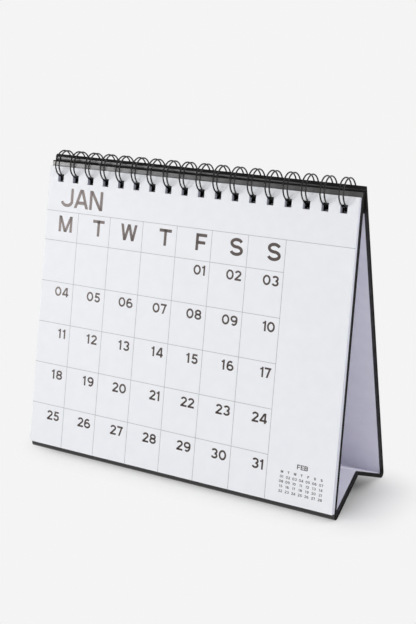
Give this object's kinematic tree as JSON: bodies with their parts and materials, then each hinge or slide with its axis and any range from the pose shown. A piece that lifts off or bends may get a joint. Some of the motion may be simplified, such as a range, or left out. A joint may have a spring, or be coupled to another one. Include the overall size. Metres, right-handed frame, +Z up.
{
  "type": "desk calendar",
  "caption": "Easel desk calendar: month leaves on a twin-loop wire turn up and over the top of a folded, covered-board stand with an inward-folding base.",
  "frame": {"origin": "middle of the box that the calendar fills, at table level", "axes": "+X along the binding, to the right for a person reading the month; +Y from the month side to the back; +Z up"},
  "size_m": [0.236, 0.0796, 0.2085],
  "materials": {
    "cover": "satin black covering paper with a fine grain over board",
    "lining": "smooth matt pale grey lining paper",
    "leaves": "smooth matt white paper with grey and brown print",
    "wire": "satin black coated steel wire"
  },
  "bodies": {
    "stand": {"case": "cover", "lining": "lining", "binding_wire": "wire"},
    "pages": {"page_block": "leaves"}
  },
  "joints": [
    {"name": "pages_turn", "type": "hinge", "parent": "stand", "child": "pages", "pos_m": [0, -0.00111, 0.19896], "axis": [-1, 0, 0], "range_deg": [0, 150]}
  ]
}
